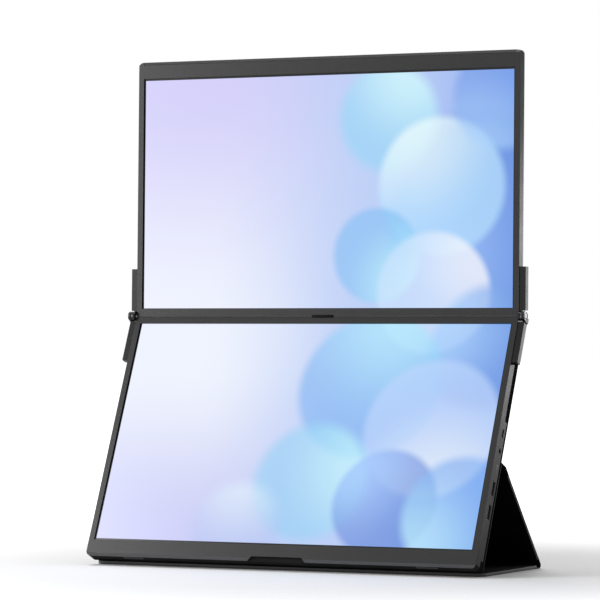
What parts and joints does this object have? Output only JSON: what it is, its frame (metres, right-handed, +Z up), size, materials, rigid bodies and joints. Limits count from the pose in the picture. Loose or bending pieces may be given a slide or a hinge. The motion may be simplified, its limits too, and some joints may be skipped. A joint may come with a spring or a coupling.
{
  "type": "portable monitor with cover",
  "caption": "Double portable monitor: two 16:9 screens joined edge to edge by outboard friction hinges, standing on a black magnetic folio cover folded into a triangle",
  "frame": {"origin": "on the floor, under the middle of the whole object's box", "axes": "+X the viewer's right (the side with the sockets), +Y away from the viewer, +Z up"},
  "size_m": [0.44, 0.1584, 0.5075],
  "materials": {
    "cover_skin": "black leather-look skin, fine grain, low sheen",
    "cover_lining": "dark microfibre lining, matt",
    "board": "grey board stiffener",
    "magnet": "nickel-plated bar magnet",
    "anti_slip": "black anti-slip strip, matt",
    "bezel": "dark grey moulding, satin",
    "frame_band": "light grey moulding, satin metallic paint",
    "back_shell": "black moulding, satin",
    "upper_shell": "dark grey moulding, satin",
    "screen": "lit display glass, semi-gloss",
    "light_guide": "white diffuser stack",
    "tray": "plain sheet",
    "lamp": "LED strip",
    "circuit": "solder-masked board",
    "flex": "flat cable",
    "steel": "steel",
    "dark_screw": "blackened screw",
    "brass_post": "brass stand-off",
    "spreader": "heat spreader",
    "socket_shell": "socket shell",
    "black_plastic": "black plastic",
    "seal": "dark grey cord, matt",
    "key": "grey key, satin",
    "hinge_arm": "dark grey hinge, gloss at the barrel",
    "disc": "polished end disc",
    "trim": "dark grey strip, satin"
  },
  "bodies": {
    "cover_base": {"base_skin": "cover_skin", "base_board": "board", "base_lining": "cover_lining", "base_magnets": "magnet", "base_feet": "anti_slip"},
    "cover_strut": {"strut_skin": "cover_skin", "strut_board": "board", "strut_lining": "cover_lining", "rear_fold": "cover_skin", "upper_fold": "cover_skin"},
    "power_key": {"power_key": "key"},
    "upper_display": {"upper_bezel": "bezel", "upper_trim_strip": "trim", "upper_frame": "frame_band", "upper_back_shell": "upper_shell", "upper_lcd_cell": "screen", "upper_light_guide": "light_guide", "upper_tray": "tray", "upper_lamp_bar": "lamp", "upper_panel_board": "circuit", "upper_ribbon": "flex", "upper_closing_magnets": "magnet", "upper_shell_screws": "dark_screw", "hinge_upper_arms": "hinge_arm", "hinge_upper_screws": "steel"},
    "lower_display": {"back_leaf_skin": "cover_skin", "back_leaf_board": "board", "back_leaf_magnets": "magnet", "lower_bezel": "bezel", "lower_frame": "frame_band", "lower_back_shell": "back_shell", "lower_lcd_cell": "screen", "lower_light_guide": "light_guide", "lower_tray": "tray", "lower_lamp_bar": "lamp", "lower_panel_board": "circuit", "lower_ribbon": "flex", "lower_closing_magnets": "magnet", "lower_shell_screws": "dark_screw", "main_board": "circuit", "board_standoffs": "brass_post", "heat_spreader": "spreader", "data_socket": "socket_shell", "audio_socket": "black_plastic", "video_sockets": "socket_shell", "key_switch": "black_plastic", "speakers": "black_plastic", "speaker_grilles": "black_plastic", "hinge_lower_arms": "hinge_arm", "hinge_lower_screws": "steel", "hinge_pins": "steel", "hinge_washers": "steel", "hinge_end_discs": "disc", "cable_guard": "black_plastic", "fold_seals": "seal"}
  },
  "joints": [
    {"name": "rear_fold", "type": "hinge", "parent": "cover_base", "child": "cover_strut", "pos_m": [0, 0.07624, 0.0033], "axis": [1, 0, 0], "range_deg": [-131, 0]},
    {"name": "upper_fold", "type": "hinge", "parent": "cover_strut", "child": "lower_display", "pos_m": [0, -0.01136, 0.0969], "axis": [1, 0, 0], "range_deg": [-115, 0]},
    {"name": "screen_fold", "type": "hinge", "parent": "lower_display", "child": "upper_display", "pos_m": [0, 0.02362, 0.24799], "axis": [1, 0, 0], "range_deg": [-22.6, 157.4]},
    {"name": "key_press", "type": "slide", "parent": "lower_display", "child": "power_key", "axis": [-1, 0, 0], "range_m": [0, 0.0005], "stiffness_N_per_m": 400, "springref_m": -0.0005}
  ]
}
